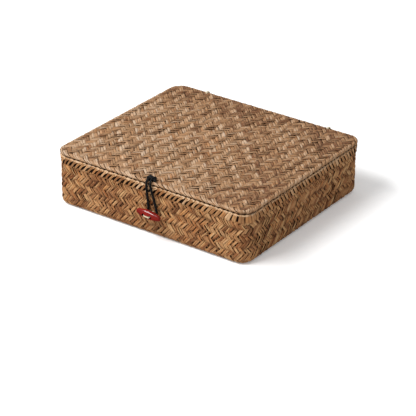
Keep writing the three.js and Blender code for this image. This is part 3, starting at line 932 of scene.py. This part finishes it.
# Layer between plaits or behind the folds, standing in for hidden strands and coloured near-black as painted
# shade; at the ring named as capped it is closed by plates
def sweptBand(name, profile, capped=None):
    signs = [(1, 1), (-1, 1), (-1, -1), (1, -1)]
    corners = [
        (sx * cornerX, sy * cornerY, (k + i / 10) * pi / 2)
        for k, (sx, sy) in enumerate(signs) for i in range(11)
    ]
    made = bmesh.new()
    rings = []
    for inset, z in profile:
        reach = corner - inset
        spots = [(x + reach * cos(a), y + reach * sin(a)) for x, y, a in corners]
        rings.append([made.verts.new((x * mm, y * mm, z * mm)) for x, y in spots])
    for k, (a, b) in enumerate(zip(rings, rings[1:] + rings[:1])):
        if k == capped:
            made.faces.new(a)
            made.faces.new(b)
            continue
        for n in range(len(a)):
            m = (n + 1) % len(a)
            made.faces.new((a[n], a[m], b[m], b[n]))
    mesh = closedMesh(name, made)
    mesh.materials.append(paintedShadeSeagrass)
    return addObject(name, mesh)


# Fine specks all over, for the painted-shade layers and the wires
def speckledMaterial(name, look):
    material, tree = newMaterial(name)
    specks = noise(tree, objectPlace(tree), look["scale"], look["detail"])
    return dress(material, specks, *look["bump"], {
        "Base Color": mixed(tree, specks, srgb(*look["Dark"]), srgb(*look["Pale"])),
        "Roughness": ranged(tree, specks, 0.3, 0.7, *look["rough"]),
        "Specular IOR Level": look["shine"], "Metallic": look["metal"],
    })


# near-black seagrass: painted shade in the gaps between strands and behind the folds
paintedShadeSeagrass = speckledMaterial("paintedShadeSeagrass", {
    "Dark": (16, 9, 5), "Pale": (44, 26, 15), "scale": 900.0, "detail": 3.0, "bump": (0.6, 0.0004),
    "rough": (0.9, 0.9), "shine": 0.1, "metal": 0.0,
})


corePlan = {
    # inset and height round each profile; the one in the wall follows the foot
    "rim": [(2.45, 54.6), (2.45, 63.0), (2.75, 63.3), (3.5, 63.3), (3.5, 54.6)],
    "lid": [(2.6, 67.5), (2.6, 67.6)], "wall": (3.9, 4.0), "wallTop": 61.5, "footPoints": 7,
}


def buildCores(plan):
    def sheet(inset):
        reach = footCentre - inset
        angles = np.radians(np.linspace(0, 90, plan["footPoints"]))
        foot = [(footCentre - reach * cos(a), footRound - reach * sin(a)) for a in angles]
        return [(inset, plan["wallTop"])] + foot

    outer, inner = (sheet(inset) for inset in plan["wall"])
    settle(sweptBand("rim_core", plan["rim"]), "base", "seagrass", "base_outer")
    settle(sweptBand("base_core", outer + inner[::-1], len(outer) - 1), "base", "seagrass", "base_outer")
    settle(sweptBand("lid_core", plan["lid"], 1), "lid", "seagrass", "lid_outer")


buildCores(corePlan)
print("rim folded")


# Thread ties that hinge the lid
tiePlan = {
    "spacing": 91.0, "tight": 3.5, "wrap": 1.65, "thread": 1.4, "apart": 0.6, "plies": 3, "twist": 4.6,
    "hinge": (123.5, 67.5), "wire": (121.2, 62.85), "knotAt": (127.0, 62.6), "knot": 0.62, "step": 0.3,
    "seed": 81,
}


def threadPiece(name, lines, diameter, plies, twist, chance):
    strands = [ply for line in lines for ply in twistedPlies(line, diameter, plies, twist, chance)]
    return growPiece(name, strands, creamThread, 0.54 * diameter, 0.5 * diameter, 8)


def knotLine(centre, size, turnX=0.0):
    t = np.linspace(0, 2 * pi, 46)
    x, y, z = np.sin(t) + 2 * np.sin(2 * t), np.cos(t) - 2 * np.cos(2 * t), -1.3 * np.sin(3 * t)
    c, s = cos(turnX), sin(turnX)
    return np.column_stack([x, c * y - s * z, s * y + c * z]) * size + np.asarray(centre)


def buildTie(name, x, plan):
    chance = np.random.default_rng(plan["seed"])

    def about(centre, radius, degrees):
        angle = radians(degrees)
        return (centre[0] + radius * cos(angle), centre[1] + radius * sin(angle))

    # close round the edge of the lid, down through its hem and round the wire of the base
    hinge, wire, tight, wrap = (plan[k] for k in ("hinge", "wire", "tight", "wrap"))
    route = [about(hinge, tight + slack, degrees) for degrees, slack in (
        (-50, 0.1), (-20, 0), (10, 0), (40, 0), (70, 0), (100, 0), (130, 0.1), (155, 0.45), (180, 0.85),
        (203, 1.25),
    )]
    route += [about(wire, wrap, degrees) for degrees in (180, 225, 270)]
    route += [(wire[0] + 2, wire[1] - wrap), (hinge[0] + 1.5, wire[1] - 0.95)]
    route += [(hinge[0] + 2.3, wire[1] + 0.35), route[0]]
    knot = (x, *plan["knotAt"])
    routes = [[(x + side * plan["apart"], y, z) for y, z in route] for side in (-1, 1)]
    routes.append(knotLine(knot, plan["knot"], 0.8))
    for side in (-1, 1):
        end = (x + side * 2.8, knot[1] + 0.4, knot[2] - 4.6)
        bend = (x + side * 1.5, knot[1] + 0.9, knot[2] - 1.8)
        routes.append([knot, bend, end])
    lines = [smoothLine(points, plan["step"]) for points in routes]
    piece = threadPiece(name, lines, plan["thread"], plan["plies"], plan["twist"], chance)
    settle(piece, "base", "cream_thread", name.replace("thread", "hinge"))


buildTie("thread_tie_left", -tiePlan["spacing"], tiePlan)
buildTie("thread_tie_right", tiePlan["spacing"], tiePlan)
print("hinge ties wound")


# Toggle bar of lacquered wood with two holes, sewn to the wall
togglePlan = {
    "centre": (7.4, -133.4, 31.3), "length": 34.4, "radius": 5.6, "end": 3.1, "depth": 9.4,
    "roll": 4.0, "tilt": 3.5, "holes": 5.0, "hole": 3.2, "sides": 56, "drillSides": 24,
    "step": 0.25, "meet": 5.795, "shank": (-126.43, -120.1), "winding": 0.72, "seed": 91,
    "stitch": (0.8, 3, 2.6), "shankThread": (0.76, 2, 2.4),  # diameter, plies and length of a twist
    "lacquer": ((84, 11, 9), (156, 34, 24), 0.75), "drilled": ((10, 5, 4), (26, 12, 8), 0.0),
}
togglePlace = (
    Matrix.Translation(Vector(togglePlan["centre"]))
    @ Matrix.Rotation(radians(togglePlan["tilt"]), 4, "Y")
    @ Matrix.Rotation(radians(togglePlan["roll"]), 4, "X")
)


def lacquerMaterial(name, dark, pale, coat):
    material, tree = newMaterial(name)
    plus, _, times = sums(tree)
    place = objectPlace(tree)
    stretch = addNode(tree, "ShaderNodeMapping", {"Vector": place, "Scale": (40.0, 420.0, 420.0)})
    grain = noise(tree, stretch.outputs[0], 1.0, 5.0, Distortion=0.4)
    amount = plus(times(grain, 0.75), times(noise(tree, place, 140.0, 2.0), 0.25))
    amount = ranged(tree, amount, 0.32, 0.7, 0.0, 1.0)
    return dress(material, grain, 0.15, 0.0001, {
        "Base Color": mixed(tree, amount, srgb(*dark), srgb(*pale)),
        "Roughness": ranged(tree, grain, 0.2, 0.8, 0.34, 0.24),
        "Specular IOR Level": 0.15, "Coat Weight": coat, "Coat Roughness": 0.1,
    })


def turnedMesh(name, profile, segments):
    made = bmesh.new()
    first, last = (made.verts.new((profile[k][0], 0, 0)) for k in (0, -1))
    angles = np.linspace(0, 2 * pi, segments, endpoint=False)
    rings = [[made.verts.new((x, r * cos(a), r * sin(a))) for a in angles] for x, r in profile[1:-1]]
    for n in range(segments):
        m = (n + 1) % segments
        made.faces.new((first, rings[0][m], rings[0][n]))
        made.faces.new((last, rings[-1][n], rings[-1][m]))
        for a, b in zip(rings, rings[1:]):
            made.faces.new((a[n], a[m], b[m], b[n]))
    return closedMesh(name, made)


def buildToggle(plan):
    half, end, radius = plan["length"] / 2, plan["end"], plan["radius"]
    left = [
        (-half, 0.0, 0.0), (-half + 0.17 * end, 0.62 * end, 0.0), (-half + 0.65 * end, end, 0.0),
        (-0.62 * half, 0.5 * (end + radius), 0.0), (-0.3 * half, 0.96 * radius, 0.0), (0.0, radius, 0.0),
    ]
    route = left + [(-x, r, 0.0) for x, r, _ in left[-2::-1]]
    profile = [(x, max(r, 0.0)) for x, r, _ in smoothLine(route, 0.55)]
    bar = addObject("toggle", turnedMesh("toggle", profile, plan["sides"]))
    bar.data.transform(Matrix.Diagonal((1, plan["depth"] / (2 * radius), 1, 1)))

    # drills with flared ends, so that the holes have rounded lips
    face, hole = plan["depth"] / 2, plan["hole"] / 2
    flare = [(-1.2, -hole), (-1.1, 1.5), (0.1, 0.45), (0.7, 0.08), (1.2, 0.0)]
    flare = [(deep - face, hole + wider) for deep, wider in flare]
    drill = flare + [(-x, r) for x, r in flare[::-1]]
    for side in (-1, 1):
        cutter = addObject("drill", turnedMesh("drill", drill, plan["drillSides"]))
        place = Matrix.Translation((side * plan["holes"], 0, 0))
        cutter.data.transform(place @ Matrix.Rotation(pi / 2, 4, "Z"))
        cut = bar.modifiers.new("hole", "BOOLEAN")
        cut.operation, cut.object, cut.solver = "DIFFERENCE", cutter, "EXACT"
    mesh = evaluatedMesh(bar)
    for spent in [o for o in scene.objects if o.name.startswith("drill")] + [bar]:
        bpy.data.objects.remove(spent)
    mesh.materials.clear()
    mesh.materials.append(lacquerMaterial("redLacquer", *plan["lacquer"]))
    # inside the holes: bare wood, coloured near-black as painted shade in the hole
    mesh.materials.append(lacquerMaterial("drilledWood", *plan["drilled"]))
    for side in mesh.polygons:
        x, y, z = side.center
        inHole = hypot(abs(x) - plan["holes"], z) < hole + 0.2
        side.material_index = int(inHole and abs(y) < face - 0.3)
    mesh.transform(Matrix.Scale(mm, 4) @ togglePlace)
    mesh.shade_smooth()
    mesh.set_sharp_from_angle(angle=radians(50))
    mesh.name = "toggle"
    settle(addObject("toggle_turned", mesh), "toggle", "red_lacquer", "toggle_bar")


def buildSewing(plan):
    chance = np.random.default_rng(plan["seed"])
    cx, cy, cz = plan["centre"]
    face, hole, step = plan["depth"] / 2, plan["holes"], plan["step"]

    def sewn(x, reach, up):
        return tuple(togglePlace @ Vector((x, -reach, up)))

    # one side of a stitch, from the shank through its hole to the front of the bar
    def stitchHalf(side, up, lift):
        return [
            (cx + side * 0.5, cy + plan["meet"], cz + 0.4 * up),
            sewn(side * hole, -face - 0.4, 0.5 * up),
            sewn(side * hole, -face + 0.9, 0.6 * up),
            sewn(side * (hole - 0.9), face - 2.2, 0.9 * up),
            sewn(side * (hole - 1.1), face - 0.6, up),
            sewn(side * (hole - 1.7), face + 0.35 + lift, up),
        ]

    lines = []
    for up, lift in ((-1.05, 0.0), (-0.45, 0.25), (0.15, 0.0)):
        top = sewn(0.0, face + 0.6 + lift, up)
        lines.append(smoothLine([*stitchHalf(-1, up, lift), top, *stitchHalf(1, up, lift)[::-1]], step))
    piece = threadPiece("toggle_sewing", lines, *plan["stitch"], chance)
    settle(piece, "toggle", "cream_thread", "toggle_stitch")

    # shank: thread wound round itself through the wall, knotted inside
    low, high = plan["shank"]
    wind = plan["winding"]
    turns = np.linspace(0, 2 * pi * (high - low) / wind, 260)
    wound = np.column_stack([
        cx + wind * np.cos(turns), np.linspace(low + 0.3, high + 0.2, len(turns)), cz + wind * np.sin(turns),
    ])
    core = smoothLine([(cx, low + 0.2, cz), (cx, 0.5 * (low + high), cz), (cx, high + 1.2, cz)], step)
    knot = smoothLine(knotLine((cx, high + 1.05, cz), 0.66, pi / 2), step)
    piece = threadPiece("toggle_winding", [wound, core, knot], *plan["shankThread"], chance)
    settle(piece, "base", "cream_thread", "toggle_shank")


buildToggle(togglePlan)
buildSewing(togglePlan)
print("toggle sewn on")


# Drawn steel wires inside the rim and the hem keep their CAD shape
drawnSteel = speckledMaterial("drawnSteel", {
    "Dark": (104, 100, 96), "Pale": (158, 156, 152), "scale": 700.0, "detail": 4.0, "bump": (0.2, 0.00005),
    "rough": (0.5, 0.32), "shine": 0.5, "metal": 1.0,
})
for node in ("base_rim_wire", "lid_rim_wire"):
    wire = frame["nodes"][node]
    wire.data.materials.clear()
    wire.data.materials.append(drawnSteel)


# Plain pale floor, one soft key light from the left of the camera, even light all round
studioPlan = {
    "around": 0.52, "mirrored": 0.2, "key": 35.0, "keyFrom": (-0.7, -0.945, 1.61), "keySize": (1.33, 0.56),
    "floor": (255, 255, 255), "floorAround": (246, 238, 228), "floorMirrored": (84, 74, 66),
    "floorGlow": 0.16, "floorReach": 6, "floorDrop": 0.0004,
}


def buildStudio(plan):
    sheet = bpy.data.meshes.new("floor")
    far = plan["floorReach"]
    sheet.from_pydata([(-far, -far, 0), (far, -far, 0), (far, far, 0), (-far, far, 0)], [], [(0, 1, 2, 3)])
    floor = addObject("floor", sheet)
    floor.location.z = -plan["floorDrop"]
    paper, tree = newMaterial("paleFloor")
    rays = addNode(tree, "ShaderNodeLightPath").outputs
    seen, mirrored = rays["Is Camera Ray"], rays["Is Glossy Ray"]
    color = mixed(tree, mirrored, srgb(*plan["floorAround"]), srgb(*plan["floorMirrored"]))
    feed(tree, tree.nodes["Principled BSDF"], {
        "Base Color": mixed(tree, seen, color, srgb(*plan["floor"])),
        "Emission Color": (1, 1, 1, 1),
        "Emission Strength": maths(tree, "MULTIPLY", seen, plan["floorGlow"]),
        "Roughness": 0.9, "Specular IOR Level": 0.0,
    })
    sheet.materials.append(paper)
    floor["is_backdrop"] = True

    key = bpy.data.lights.new("key", "AREA")
    key.shape = "RECTANGLE"
    key.energy, (key.size, key.size_y) = plan["key"], plan["keySize"]
    lamp = addObject("key", key)
    lamp.location = plan["keyFrom"]
    lamp.visible_camera = False
    lamp.rotation_euler = Vector(plan["keyFrom"]).to_track_quat("Z", "Y").to_euler()

    world = bpy.data.worlds.new("studio")
    world.use_nodes = True
    scene.world = world
    tree = world.node_tree
    rays = addNode(tree, "ShaderNodeLightPath").outputs
    level = ranged(tree, rays["Is Glossy Ray"], 0.0, 1.0, plan["around"], plan["mirrored"])
    level = ranged(tree, rays["Is Camera Ray"], 0.0, 1.0, level, 1.0)
    feed(tree, tree.nodes["Background"], {"Strength": level, "Color": (1, 1, 1, 1)})


buildStudio(studioPlan)
print("studio lit")

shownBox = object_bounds()
for label, box in (("CAD", cadBox), ("visual", shownBox)):
    print(label, "box in mm", [[round(v / mm, 1) for v in c] for c in box])
